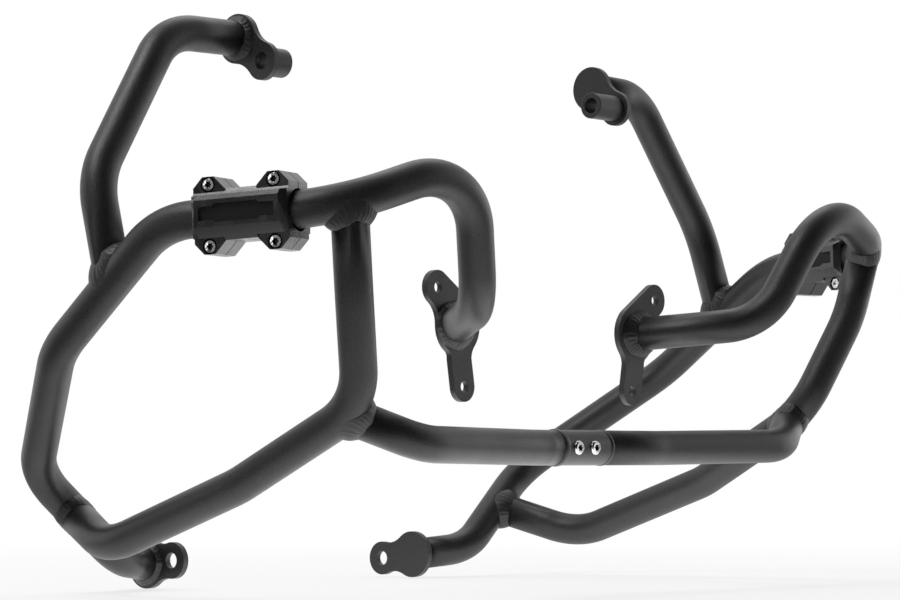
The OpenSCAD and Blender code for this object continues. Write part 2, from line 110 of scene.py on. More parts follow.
SLIDER_RECESS = ((-30, -4.2), (-19, -4.2), (-16.5, -6.1), (16.5, -6.1), (19, -4.2), (30, -4.2),
                 (30, 5.4), (19, 5.4), (16.5, 7.2), (-16.5, 7.2), (-19, 5.4), (-30, 5.4))
SLIDER_FACE = 22
SLIDER_RECESS_DEPTH = 1.9
SLIDER_RECESS_DRAFT = (0.965, 0.86, 1)
SLIDER_BORE = 15
SLIDER_BORE_START = 1.5
SLIDER_BORE_STEPS = 24
SLIDER_LUG_TOP = 14
SLIDER_COUNTERBORE = 5.6
COUNTERBORE_RING = 32
CORNERS = ((-1, -1), (-1, 1), (1, -1), (1, 1))
SLIDER_AT = 68
SLIDER_SCREW = (26, 21.5)
SLIDER_SEAT = 9
SLIDER_BACK_DEPTH = 0.9

# Screws: the head's radius, its flat top's radius and its height, the socket's radius and depth, and
# the shank's radius and its length from the head's top. Then the socket's lobes with their size as a
# share of its radius, how far the socket's rim lies below the head's top, the share of the head's
# height that is rounded, and the points round a screw
COUPLING_SCREW = (5.25, 4.1, 3.3, 2.3, 2, 3, 19)
SLIDER_CAP_SCREW = (4.8, 4.2, 5, 2.2, 3, 2.5, 24.5)
SOCKET_LOBES = 6
SOCKET_LOBE_SIZE = 0.17
SOCKET_DIP = 0.3
HEAD_ROUND = 0.35
SCREW_RING = 48

# Rounds of the small edges in metres, and the angle in degrees from which an edge is sharp
SHARP_EDGE = 38
BLOCK_EDGE = 0.0004
LINER_EDGE = 0.0003
SCREW_EDGE = 0.00025
NUT_EDGE = 0.0002

# How far from a joint its rays start, back along the branch tube, how far they may miss it, and the
# steps that bring a missing ray's point to the nearest place
REACH = 45 * MM
MISS = 1.5 * MM
MISS_STEPS = 12
# Points closer than this are one
SAME_POINT = 1e-7
# Points round a tube, and degrees between two rings in its bends
RING = 64
BEND_STEP = 3

# Weld beads: the phase of each one's wander, its leg as a share of the panel's size, and the node that
# it stands for, where the front plate's bead stands for all three at the plates
BEADS = {"lower_front": (0.4, 1, "lower_front_weld"), "lower_rear": (1.7, 1, "lower_rear_weld"),
         "cross_tube": (2.9, 1, "cross_tube_weld"), "rear_arm": (4.1, 1, "rear_arm_weld"),
         "front_plate": (5.3, 0.85, "plate_welds"), "foot": (0.9, 0.72, None),
         "arm_plate": (3.5, 0.68, None)}
# Points round a bead's section, stations of a ripple and of a first rough line, passes that
# soften the line, and how far the bead's edges lie below the surfaces
BEAD_SECTION = 16
STEPS_PER_RIPPLE = 6
ROUGH_STATIONS = 48
SOFT_PASSES = 60
TOE_DEPTH = 0.12 * MM
# Shares of the bead's reach: what is added where both surfaces run together, the depth and width of
# the root, and the height of the crown on a corner and what is added on a flat
SADDLE = 0.9
ROOT_DEPTH = 0.35
ROOT_WIDTH = 0.3
CROWN = 0.05
FLAT_CROWN = 0.13
# The share of half a turn of the section that shows, and the ripples' lean, shape and mean height
SHOWN = 0.75
RIPPLE_LEAN = 0.4
RIPPLE_POWER = 0.7
RIPPLE_MEAN = 0.6
# Waves round a bead, each with its size, its count and the share of the phase that it takes: of the
# reach as shares of it, and of the ripples' places in ripples
REACH_WAVES = ((0.07, 3, 1), (0.05, 7, 2))
RIPPLE_WAVES = ((0.12, 5, 1),)
# Weld rings of the coupling, each with its place along X in millimetres, half its width and its
# height in metres, and the phase of its wander. Then the waves of their height, points and stations,
# the ripples' count, height as a share and lean, and how deep the rings' edges and roots lie
WELD_RINGS = {"coupling_weld_ring": (-SLEEVE_LENGTH - 1, 0.0034, 0.0009, 0.6),
              "coupling_seam_ring": (2.6, 0.0018, 0.0005, 2.2)}
RING_BEAD_WAVES = ((0.12, 2, 1),)
RING_BEAD_SECTION = 12
RING_BEAD_STATIONS = 150
RING_BEAD_RIPPLES = 30
RING_BEAD_RIPPLE = 0.1
RING_BEAD_LEAN = 0.5
RING_BEAD_SINK = 0.4 * MM
RING_BEAD_ROOT = -0.8

# Place and view of the camera, as fitted to the photograph
CAMERA_PLACE = (-1.8771, -1.5464, -0.1276)
CAMERA_AZIMUTH = -48.777
CAMERA_ELEVATION = -2.951
CAMERA_LENS = 124.55
CAMERA_SHIFT = (-0.0019, -0.0031)

# Towards the darkest part of the surround
DARK_SIDE = Vector((-0.70, -0.61, 0.45)).normalized()
# Values that change over a range: the value at its start and at its end, and where it starts and ends.
# The surround's strength, by how far a direction points to the dark side; less than 0 is dark
SURROUND = (0.95, -0.3, 0.0, 0.6)
# What the floor's glow gains in gloss, by distance from the middle and by side, and its fade to plain
# white by distance, with how much of that gloss sees
FLOOR_NEAR = (1.1, -0.8, 0.25, 0.62)
FLOOR_BEHIND = (0.1, -0.8, -0.6, 0.0)
FLOOR_FADE = (0.75, 1, 0.4, 1.4)
FLOOR_GLOSS = 2.5
FLOOR_SIZE = 30
FLOOR_GAP = 0.5 * MM
# Softboxes: name, place, size and power
LAMPS = (("top_softbox", (0.9, 0.8, 1.9), 1.3, 8), ("left_softbox", (-1.25, 0.5, 1.8), 0.9, 21),
         ("right_softbox", (2.1, -0.3, 0.1), 1.4, 7),
         ("screw_softbox", (-2.1, -0.15, 0.05), 0.6, 2.6))


class CrashBarSizes(bpy.types.PropertyGroup):
    """Sizes of what is modelled here, in metres"""
    tube_diameter: bpy.props.FloatProperty(
        name="Tube diameter", description="Outside diameter of every tube",
        default=0.027, unit="LENGTH")
    tube_wall: bpy.props.FloatProperty(
        name="Tube wall", description="Wall of the tubes",
        default=0.002, unit="LENGTH")
    bead_leg: bpy.props.FloatProperty(
        name="Bead leg", description="How far a weld bead reaches along each tube",
        default=0.0058, unit="LENGTH")
    plate_bead_leg: bpy.props.FloatProperty(
        name="Plate bead leg", description="How far a weld bead reaches over a plate",
        default=0.0068, unit="LENGTH")
    ripple_pitch: bpy.props.FloatProperty(
        name="Ripple pitch", description="Distance between two ripples of a bead",
        default=0.0036, unit="LENGTH")
    ripple_height: bpy.props.FloatProperty(
        name="Ripple height", description="Height of the ripples",
        default=0.00042, unit="LENGTH")
    edge_round: bpy.props.FloatProperty(
        name="Edge round", description="Radius of the plates' edges",
        default=0.0006, unit="LENGTH")


class CrashBarFinish(bpy.types.PropertyGroup):
    """Colours and textures"""
    coat_colour: bpy.props.FloatVectorProperty(
        name="Coat colour", description="Black powder coat", subtype="COLOR", size=3,
        default=(0.013, 0.0133, 0.0138), min=0, max=1)
    coat_grain: bpy.props.FloatProperty(
        name="Coat grain", description="Size of the coat's grains", default=0.0011, unit="LENGTH")
    block_colour: bpy.props.FloatVectorProperty(
        name="Block colour", description="Plastic of the slider blocks", subtype="COLOR", size=3,
        default=(0.011, 0.0112, 0.0115), min=0, max=1)
    # The liner's rubber colour, which also paints shade on the floor of the blocks' recess
    rubber_and_recess_shade_colour: bpy.props.FloatVectorProperty(
        name="Rubber colour", description="Liner and recess of the slider blocks",
        subtype="COLOR", size=3, default=(0.008, 0.008, 0.008), min=0, max=1)
    steel_colour: bpy.props.FloatVectorProperty(
        name="Steel colour", description="Plated screws and nuts", subtype="COLOR", size=3,
        default=(0.78, 0.78, 0.77), min=0, max=1)
    floor_colour: bpy.props.FloatVectorProperty(
        name="Floor colour", description="Floor and backdrop", subtype="COLOR", size=3,
        default=(0.9, 0.9, 0.9), min=0, max=1)


def sizes():
    """The sizes that the panel shows"""
    return bpy.context.scene.crash_bar_sizes


def finish():
    """The finish that the panel shows"""
    return bpy.context.scene.crash_bar_finish


def at(point, side=1):
    """A point given in millimetres for the left half, on the wanted side, in metres"""
    return Vector((point[0] * side, point[1], point[2])) * MM


def along(place, direction):
    """The transform that moves the origin to a place and turns +Z to a direction"""
    turn = direction.to_track_quat("Z", "Y").to_matrix().to_4x4()
    return Matrix.Translation(place) @ turn


def facing_front(place):
    """The transform that moves the origin to a place and turns +Z to the front"""
    return Matrix.Translation(place) @ Matrix.Rotation(math.pi / 2, 4, "X")


def new_material(name, colour, roughness, metallic=0.0):
    """A material with a Principled shader; returns it with its node tree and shader"""
    material = bpy.data.materials.new(name)
    material.use_nodes = True
    tree = material.node_tree
    shader = tree.nodes["Principled BSDF"]
    shader.inputs["Base Color"].default_value = (*colour, 1)
    shader.inputs["Roughness"].default_value = roughness
    shader.inputs["Metallic"].default_value = metallic
    return material, tree, shader


def noise(tree, scale, detail=2.0, roughness=0.5):
    """Noise on Object coordinates"""
    place = tree.nodes.new("ShaderNodeTexCoord")
    texture = tree.nodes.new("ShaderNodeTexNoise")
    texture.inputs["Scale"].default_value = scale
    texture.inputs["Detail"].default_value = detail
    texture.inputs["Roughness"].default_value = roughness
    tree.links.new(place.outputs["Object"], texture.inputs["Vector"])
    return texture


def remap(tree, source, low, high, from_low=0.3, from_high=0.7):
    """A value moved from its own range, by default that of noise, to the wanted one"""
    node = tree.nodes.new("ShaderNodeMapRange")
    node.inputs["From Min"].default_value = from_low
    node.inputs["From Max"].default_value = from_high
    node.inputs["To Min"].default_value = low
    node.inputs["To Max"].default_value = high
    tree.links.new(source, node.inputs["Value"])
    return node.outputs["Result"]


def calculate(tree, operation, *values):
    """The result of a Math node on numbers and on other nodes' outputs"""
    node = tree.nodes.new("ShaderNodeMath")
    node.operation = operation
    for entry, value in zip(node.inputs, values):
        if isinstance(value, bpy.types.NodeSocket):
            tree.links.new(value, entry)
        else:
            entry.default_value = value
    return node.outputs["Value"]


def measure(tree, coordinates, operation, other=(0, 0, 0)):
    """The number that a Vector Math node gives for texture coordinates"""
    place = tree.nodes.new("ShaderNodeTexCoord")
    node = tree.nodes.new("ShaderNodeVectorMath")
    node.operation = operation
    node.inputs[1].default_value = other
    tree.links.new(place.outputs[coordinates], node.inputs[0])
    return node.outputs["Value"]


def tint(tree, shader, source, dark, light):
    """The shader's colour, mixed from a dark and a light one by a value"""
    mix = tree.nodes.new("ShaderNodeMix")
    mix.data_type = "RGBA"
    mix.inputs["A"].default_value = (*dark, 1)
    mix.inputs["B"].default_value = (*light, 1)
    tree.links.new(source, mix.inputs["Factor"])
    tree.links.new(mix.outputs["Result"], shader.inputs["Base Color"])


def bump(tree, shader, source, height, strength=1.0, below=None):
    """A bump of a real height on the shader, over another bump where one is given"""
    node = tree.nodes.new("ShaderNodeBump")
    node.inputs["Distance"].default_value = height
    node.inputs["Strength"].default_value = strength
    tree.links.new(source, node.inputs["Height"])
    if below is not None:
        tree.links.new(below.outputs["Normal"], node.inputs["Normal"])
    tree.links.new(node.outputs["Normal"], shader.inputs["Normal"])
    return node


def powder_coat(name="powder_coat", waviness=0.00012):
    """Textured black powder coat: fine grains, with a slight orange peel below them"""
    colour = Vector(finish().coat_colour)
    grain = finish().coat_grain
    material, tree, shader = new_material(name, colour, 0.5)
    shader.inputs["Specular IOR Level"].default_value = 0.6
    grains = noise(tree, 1 / grain, 2.0, 0.55)
    patches = noise(tree, 28, 3.0)
    tint(tree, shader, remap(tree, grains.outputs["Fac"], 0, 1), colour * 0.6, colour * 1.9)
    tree.links.new(remap(tree, patches.outputs["Fac"], 0.4, 0.48), shader.inputs["Roughness"])
    peel = bump(tree, shader, patches.outputs["Fac"], waviness, 0.5)
    bump(tree, shader, grains.outputs["Fac"], grain * 0.28, 0.75, peel)
    return material


def block_plastic():
    """Moulded plastic with a fine spark-eroded skin and a satin sheen"""
    colour = Vector(finish().block_colour)
    material, tree, shader = new_material("block_plastic", colour, 0.34)
    shader.inputs["Specular IOR Level"].default_value = 0.85
    grains = noise(tree, 1900, 2.0)
    patches = noise(tree, 90, 2.0)
    tint(tree, shader, remap(tree, patches.outputs["Fac"], 0, 1), colour * 0.75, colour * 1.3)
    tree.links.new(remap(tree, patches.outputs["Fac"], 0.22, 0.3), shader.inputs["Roughness"])
    bump(tree, shader, grains.outputs["Fac"], 0.00008, 0.5)
    return material


def recess_painted_shade():
    """Painted shade: a darker, matt black on the floor of the blocks' recess, standing in for the
    shade that falls in it
    """
    colour = Vector(finish().rubber_and_recess_shade_colour)
    material, tree, shader = new_material("recess_painted_shade", colour, 0.6)
    shader.inputs["Specular IOR Level"].default_value = 0.25
    grains = noise(tree, 1900, 2.0)
    tint(tree, shader, remap(tree, grains.outputs["Fac"], 0, 1), colour * 0.7, colour * 1.3)
    bump(tree, shader, grains.outputs["Fac"], 0.00008, 0.5)
    return material


def liner_rubber():
    """Dull rubber"""
    colour = Vector(finish().rubber_and_recess_shade_colour)
    material, tree, shader = new_material("liner_rubber", colour, 0.75)
    patches = noise(tree, 260, 3.0)
    tint(tree, shader, remap(tree, patches.outputs["Fac"], 0, 1), colour * 0.7, colour * 1.4)
    bump(tree, shader, patches.outputs["Fac"], 0.0001, 0.4)
    return material


def plated_steel(name="plated_steel", roughness=0.24, shade=1.0):
    """Bright plated steel with faint turning marks"""
    # A shade below 1 darkens the colour; on the screws' sockets this is painted shade
    colour = Vector(finish().steel_colour) * shade
    material, tree, shader = new_material(name, colour, roughness, 1.0)
    marks = noise(tree, 2600, 3.0)
    patches = noise(tree, 320, 2.0)
    tint(tree, shader, remap(tree, patches.outputs["Fac"], 0, 1), colour * 0.82, colour)
    sheen = remap(tree, patches.outputs["Fac"], roughness * 0.8, roughness * 1.4)
    tree.links.new(sheen, shader.inputs["Roughness"])
    bump(tree, shader, marks.outputs["Fac"], 0.00001, 0.3)
    return material


MATERIAL_MAKERS = {
    "coated_tube": powder_coat,
    "coated_plate": powder_coat,
    "coated_weld": lambda: powder_coat("powder_coat_on_weld", 0.0003),
    "block_plastic": block_plastic,
    "recess_painted_shade": recess_painted_shade,
    "liner_rubber": liner_rubber,
    "screw_steel": plated_steel,
    # Painted shade: the screws' sockets are steel darkened to 0.08 of its colour, standing in for the
    # shade deep in them
    "socket_painted_shade": lambda: plated_steel("shaded_socket", 0.5, 0.08),
    "nut_steel": lambda: plated_steel("dull_plated_steel", 0.3, 1.0),
    "spigot_steel": lambda: plated_steel("turned_steel", 0.42, 0.6),
}
made_materials = {}


def material_for(slot):
    """The material of a record slot, made once; two slots with one maker share it"""
    maker = MATERIAL_MAKERS[slot]
    if maker not in made_materials:
        made_materials[maker] = maker()
    return made_materials[maker]


def paint(thing, slot):
    """Gives a CAD node its one material"""
    thing.data.materials.clear()
    thing.data.materials.append(material_for(slot))


def smooth(thing):
    """Shades all faces smooth"""
    thing.data.polygons.foreach_set("use_smooth", [True] * len(thing.data.polygons))


def new_piece(name, bm, slot, *stands_for):
    """Makes the object from a bmesh, with its material, body and the nodes that it stands for"""
    bmesh.ops.remove_doubles(bm, verts=bm.verts, dist=SAME_POINT)
    bmesh.ops.recalc_face_normals(bm, faces=bm.faces)
    mesh = bpy.data.meshes.new(name)
    bm.to_mesh(mesh)
    bm.free()
    piece = bpy.data.objects.new(name, mesh)
    bpy.context.scene.collection.objects.link(piece)
    smooth(piece)
    mesh.materials.append(material_for(slot))
    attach(piece, "root")
    if stands_for:
        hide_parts(*stands_for)
    return piece


def round_edges(thing, width, segments=3):
    """Merges a CAD node's or a piece's corners and rounds its sharp edges"""
    weld = thing.modifiers.new("merge", "WELD")
    weld.merge_threshold = 1e-6
    bevel = thing.modifiers.new("edge_round", "BEVEL")
    bevel.width = width
    bevel.segments = segments
    bevel.limit_method = "ANGLE"
    bevel.angle_limit = math.radians(SHARP_EDGE)
    flat = thing.modifiers.new("flat_faces", "WEIGHTED_NORMAL")
    flat.weight = 100
    smooth(thing)


class PlaneTarget:
    """A flat plate's face, which a tube ends on; it gives points with the outward normal"""

    def __init__(self, point, normal):
        self.point = point
        self.normal = normal

    def meet(self, origin, direction):
        hit = intersect_line_plane(origin, origin + direction, self.point, self.normal)
        return hit, self.normal

    def nearest(self, point):
        height = (point - self.point).dot(self.normal)
        return point - self.normal * height, self.normal


class TubeTarget:
    """The outside of a tube, which a branch tube ends on; it gives points with the outward normal"""

    def __init__(self, bm):
        self.tree = BVHTree.FromBMesh(bm)

    def meet(self, origin, direction):
        hit, normal = self.tree.ray_cast(origin, direction)[:2]
        if hit is None:
            # a ray that just misses the tube takes its own point nearest to it
            hit = origin + direction * REACH
            for _ in range(MISS_STEPS):
                near, normal, _, distance = self.tree.find_nearest(hit)
                hit = origin + direction * (near - origin).dot(direction)
            if distance > MISS:
                raise ValueError("a ray along the branch tube misses the tube that it should meet")
        return hit, normal

    def nearest(self, point):
        return self.tree.find_nearest(point)[:2]


def push_on(bm, edges, step):
    """Draws an open ring of edges on by a straight step; returns the new ring's edges"""
    made = bmesh.ops.extrude_edge_only(bm, edges=edges)["geom"]
    verts = [v for v in made if isinstance(v, bmesh.types.BMVert)]
    bmesh.ops.translate(bm, verts=verts, vec=step)
    return [e for e in made if isinstance(e, bmesh.types.BMEdge) and all(v in verts for v in e.verts)]


def draw_tube(corners, bends, radius):
    """The outside of a bent tube; returns its bmesh, its first ring's points and its last ring's"""
    bm = bmesh.new()
    start = along(corners[0], corners[1] - corners[0])
    bmesh.ops.create_circle(bm, segments=RING, radius=radius, matrix=start)
    first = list(bm.verts)
    edges = list(bm.edges)
    place = corners[0]
    for i, bend in enumerate((b * MM for b in bends), 1):
        into = (corners[i] - corners[i - 1]).normalized()
        out = (corners[i + 1] - corners[i]).normalized()
        turn = into.angle(out)
        run = bend * math.tan(turn / 2)
        edges = push_on(bm, edges, corners[i] - into * run - place)
        centre = corners[i] + (out - into).normalized() * bend / math.cos(turn / 2)
        ring = list({v for e in edges for v in e.verts})
        spun = bmesh.ops.spin(bm, geom=edges + ring, cent=centre, axis=into.cross(out).normalized(),
                              angle=turn, steps=max(4, round(math.degrees(turn) / BEND_STEP)))
        edges = [e for e in spun["geom_last"] if isinstance(e, bmesh.types.BMEdge)]
        place = corners[i] + out * run
    edges = push_on(bm, edges, corners[-1] - place)
    bmesh.ops.remove_doubles(bm, verts=bm.verts, dist=SAME_POINT)
    bmesh.ops.recalc_face_normals(bm, faces=bm.faces)
    return bm, first, list({v for e in edges for v in e.verts})


def into_path(path):
    """The directions from a path's first and last point to their neighbours"""
    return (path[1] - path[0]).normalized(), (path[-2] - path[-1]).normalized()


def fit_ring(ring, away, target):
    """Moves the points of a tube's end along the tube to the surface that it ends on"""
    for v in ring:
        v.co = target.meet(v.co + away * REACH, -away)[0]


def finish_tube(name, bm, node):
    """Gives a drawn tube its wall and makes it a piece"""
    piece = new_piece(name, bm, "coated_tube", node)
    wall = piece.modifiers.new("wall", "SOLIDIFY")
    wall.thickness = sizes().tube_wall
    wall.offset = -1


def joint_line(start, away, radius, target, stations):
    """Where a round tube meets a surface: for each station the point and both outward normals"""
    turn = along(start, away).to_3x3()
    line = []
    for k in range(stations):
        angle = 2 * math.pi * k / stations
        out = turn @ Vector((math.cos(angle), math.sin(angle), 0))
        point, normal = target.meet(start + out * radius + away * REACH, -away)
        line.append((point, out, normal))
    return line


def onto_tube(point, start, away, radius):
    """A point moved straight in or out to a given distance from a tube's axis"""
    foot = start + away * (point - start).dot(away)
    return foot + (point - foot).normalized() * radius


def soften(line, start, away, target):
    """Rounds the sharp turns of a joint line, as a welder's hand does, with its normals"""
    points = [station[0] for station in line]
    for _ in range(SOFT_PASSES):
        points = [(points[k - 1] + 2 * points[k] + points[(k + 1) % len(points)]) / 4
                  for k in range(len(points))]
    softened = []
    for point in points:
        foot = start + away * (point - start).dot(away)
        softened.append((point, (point - foot).normalized(), target.nearest(point)[1]))
    return softened


def spin_ring(segments, stations):
    """A thin ring of radius 1 round Z, each of whose points is then placed"""
    bm = bmesh.new()
    section = Matrix.Translation((1, 0, 0)) @ Matrix.Rotation(math.pi / 2, 4, "X")
    bmesh.ops.create_circle(bm, segments=segments, radius=0.3, matrix=section)
    bmesh.ops.spin(bm, geom=list(bm.verts) + list(bm.edges), cent=(0, 0, 0), axis=(0, 0, 1),
                   angle=2 * math.pi, steps=stations, use_merge=True)
    return bm


def ring_angles(v):
    """How far round the ring a point of it lies, and how far round its section from the outside"""
    return math.atan2(v.co.y, v.co.x), math.atan2(v.co.z, math.hypot(v.co.x, v.co.y) - 1)


def wander(waves, turn, phase):
    """The sum of waves round a bead"""
    return sum(size * math.sin(count * turn + share * phase) for size, count, share in waves)


def bead(name, node, start, away, target, leg, phase):
    """A rippled fillet weld round a tube's end, whose phase sets how it wanders"""
    radius = sizes().tube_diameter / 2
    height = sizes().ripple_height
    rough = joint_line(start, away, radius, target, ROUGH_STATIONS)
    length = sum((rough[k][0] - rough[k - 1][0]).length for k in range(ROUGH_STATIONS))
    stations = round(length / sizes().ripple_pitch) * STEPS_PER_RIPPLE
    line = soften(joint_line(start, away, radius, target, stations), start, away, target)
    bm = spin_ring(BEAD_SECTION, stations)
    for v in bm.verts:
        turn, across = ring_angles(v)
        turn %= 2 * math.pi
        k = round(turn / (2 * math.pi) * stations) % stations
        point, out, normal = line[k]
        tangent = (line[(k + 2) % stations][0] - line[k - 2][0]).normalized()
        up_tube = out.cross(tangent).normalized()
        over_face = tangent.cross(normal).normalized()
        reach = leg * (1 + wander(REACH_WAVES, turn, phase))
        # where both surfaces run together, the bead reaches straight along the tube, and farther
        flat = max(0.0, out.dot(normal))
        run = up_tube.lerp(away, flat) * reach * (1 + SADDLE * flat)
        tube_toe = onto_tube(point + run, start, away, radius - TOE_DEPTH)
        near, face = target.nearest(point + over_face * reach)
        face_toe = near - face * TOE_DEPTH
        facing = (out + normal).normalized()
        if abs(across) > SHOWN * math.pi:
            inside = (math.pi - abs(across)) * (1 if across > 0 else -1) * ROOT_WIDTH * leg
            v.co = point - facing * ROOT_DEPTH * leg + (up_tube - over_face) * inside
            continue
        share = (across + SHOWN * math.pi) / (2 * SHOWN * math.pi)
        crown = math.sin(math.pi * share)
        travel = k / STEPS_PER_RIPPLE + RIPPLE_LEAN * crown + wander(RIPPLE_WAVES, turn, phase)
        ripple = abs(math.sin(math.pi * travel)) ** RIPPLE_POWER - RIPPLE_MEAN
        lift = leg * (CROWN + FLAT_CROWN * flat) * crown + height * ripple * crown ** RIPPLE_POWER
        v.co = face_toe.lerp(tube_toe, share) + facing * lift
    new_piece(name, bm, "coated_weld", *([node] if node else []))


def ring_bead(name, x, half_width, height, phase):
    """A low weld ring round the coupling"""
    radius = sizes().tube_diameter / 2
    centre = at((x, *COUPLING_AXIS))
    bm = spin_ring(RING_BEAD_SECTION, RING_BEAD_STATIONS)
    for v in bm.verts:
        turn, across = ring_angles(v)
        lean = RING_BEAD_LEAN * math.cos(across)
        ripple = abs(math.sin(RING_BEAD_RIPPLES / 2 * turn + lean))
        rise = height * (1 + RING_BEAD_RIPPLE * ripple + wander(RING_BEAD_WAVES, turn, phase))
        round_out = max(math.cos(across), RING_BEAD_ROOT)
        out = radius - RING_BEAD_SINK + (rise + RING_BEAD_SINK) * round_out
        v.co = centre + Vector((half_width * math.sin(across),
                                out * math.cos(turn), out * math.sin(turn)))
    new_piece(name, bm, "coated_weld")


def socket_loop(bm, radius):
    """A lobed loop of points round Z, just below the origin; returns its edges"""
    made = bmesh.ops.create_circle(bm, segments=SCREW_RING, radius=radius)["verts"]
    for v in made:
        turn = math.atan2(v.co.y, v.co.x)
        v.co *= 1 + SOCKET_LOBE_SIZE * math.cos(SOCKET_LOBES * turn)
        v.co.z = -SOCKET_DIP * MM
    return [e for e in bm.edges if all(v in made for v in e.verts)]


def screw(measures):
    """A screw with a six-lobed socket, its head's top at the origin and its shank along -Z"""
    head_r, crown_r, head_h, socket_r, socket_deep, shank_r, shank_l = (m * MM for m in measures)
    bm = bmesh.new()
    rim = bmesh.ops.create_circle(bm, segments=SCREW_RING, radius=crown_r)["verts"]
    top = [e for e in bm.edges if all(v in rim for v in e.verts)]
    socket = socket_loop(bm, socket_r)
    bmesh.ops.bridge_loops(bm, edges=top + socket)
    known = set(bm.faces)
    floor = push_on(bm, socket, Vector((0, 0, -socket_deep)))
    bmesh.ops.contextual_create(bm, geom=floor)
    # The socket's walls and floor take the second material, a painted shade
    for face in set(bm.faces) - known:
        face.material_index = 1
    profile = ((head_r, -head_h * HEAD_ROUND), (head_r, -head_h), (shank_r, -head_h),
               (shank_r, -shank_l))
    edges = top
    radius = crown_r
    height = 0.0
    for next_r, next_z in profile:
        edges = push_on(bm, edges, Vector((0, 0, next_z - height)))
        verts = list({v for e in edges for v in e.verts})
        bmesh.ops.scale(bm, verts=verts, vec=(next_r / radius, next_r / radius, 1))
        radius = next_r
        height = next_z
    bmesh.ops.contextual_create(bm, geom=edges)
    return bm


def screws(name, node, places, measures):
    """Copies of one screw at each place, in one piece that stands for the node"""
    whole = bmesh.new()
    for place in places:
        one = screw(measures)
        bmesh.ops.transform(one, matrix=place, verts=one.verts)
        mesh = bpy.data.meshes.new("screw")
        one.to_mesh(mesh)
        one.free()
        whole.from_mesh(mesh)
        bpy.data.meshes.remove(mesh)
    piece = new_piece(name, whole, "screw_steel", node)
    piece.data.materials.append(material_for("socket_painted_shade"))
    round_edges(piece, SCREW_EDGE, 2)


def slider_axes(side):
    """The slider block's middle, and its directions along the tube, up and outward"""
    start = at(MAIN_TUBE[3], side)
    lengthwise = (at(MAIN_TUBE[4], side) - start).normalized()
    outward = lengthwise.cross(Vector((0, 0, 1))).normalized() * side
    up = outward.cross(lengthwise).normalized() * side
    return start + lengthwise * SLIDER_AT * MM, lengthwise, up, outward


def arc(centre, start, end, step):
    """Points round a centre from one point to another, anticlockwise for a positive step in degrees"""
    first = start - centre
    last = end - centre
    turn = (math.atan2(last.y, last.x) - math.atan2(first.y, first.x)) % (2 * math.pi)
    if step < 0:
        turn -= 2 * math.pi
    count = max(1, round(abs(math.degrees(turn) / step)))
    return [centre + Matrix.Rotation(turn * i / count, 2) @ first for i in range(count + 1)]


def lobed_outline(lobes):
    """The anticlockwise outline of round lobes, joined by straight edges or hollows"""
    joins = []
    for i, (x, y, radius, hollow) in enumerate(lobes):
        a = Vector((x, y))
        b = Vector(lobes[(i + 1) % len(lobes)][:2])
        b_radius = lobes[(i + 1) % len(lobes)][2]
        gap = (b - a).length
        ahead = (b - a) / gap
        right = Vector((ahead.y, -ahead.x))
        if hollow:
            near = radius + hollow
            share = (near ** 2 - (b_radius + hollow) ** 2 + gap ** 2) / (2 * gap)
            centre = a + ahead * share + right * math.sqrt(near ** 2 - share ** 2)
            leave = a + (centre - a) * radius / near
            arrive = b + (centre - b) * b_radius / (b_radius + hollow)
            joins.append((leave, arc(centre, leave, arrive, -HOLLOW_STEP)[1:-1], arrive))
        else:
            lean = (radius - b_radius) / gap
            out = ahead * lean + right * math.sqrt(1 - lean ** 2)
            joins.append((a + out * radius, [], b + out * b_radius))
    points = []
    for i, (leave, between, _) in enumerate(joins):
        rim = arc(Vector(lobes[i][:2]), joins[i - 1][2], leave, RIM_STEP)
        # one point between the joins stands for the rim of a lobe whose joins cross
        points += (rim if len(rim) < CROSSED_RIM else [rim[0].lerp(rim[-1], 0.5)]) + between
    return points


def cut_plate(outline, holes, side):
    """A flat plate with round holes, its front at the plates' front face"""
    bm = bmesh.new()
    corners = [bm.verts.new(at((p.x, FRONT_PLATE_Y, p.y), side)) for p in outline]
    for i, corner in enumerate(corners):
        bm.edges.new((corners[i - 1], corner))
    for x, z, radius in holes:
        bmesh.ops.create_circle(bm, segments=HOLE_RING, radius=radius * MM,
                                matrix=facing_front(at((x, FRONT_PLATE_Y, z), side)))
    bmesh.ops.triangle_fill(bm, use_beauty=True, edges=bm.edges, normal=(0, -1, 0))
    back = bmesh.ops.extrude_face_region(bm, geom=bm.faces, use_keep_orig=True)["geom"]
    verts = [v for v in back if isinstance(v, bmesh.types.BMVert)]
    bmesh.ops.translate(bm, verts=verts, vec=(0, PLATE_THICKNESS * MM, 0))
    return bm


def loop_of(bm, points):
    """A closed loop of edges through the points"""
    verts = [bm.verts.new(point) for point in points]
    return [bm.edges.new((verts[i - 1], vert)) for i, vert in enumerate(verts)]


def bar(bm, section, stations):
    """A closed bar along X with one section, each of whose stations has its own height limit"""
    tops = {float(x): top for x, top in stations}
    first = loop_of(bm, [(stations[0][0], y, z) for y, z in section])
    made = [v for e in first for v in e.verts]
    edges = first
    for (x, _), (next_x, _) in zip(stations, stations[1:]):
        edges = push_on(bm, edges, Vector((next_x - x, 0, 0)))
        made += [v for e in edges for v in e.verts]
    bmesh.ops.contextual_create(bm, geom=first)
    bmesh.ops.contextual_create(bm, geom=edges)
    for v in made:
        v.co.z = min(v.co.z, tops[round(v.co.x, 3)])


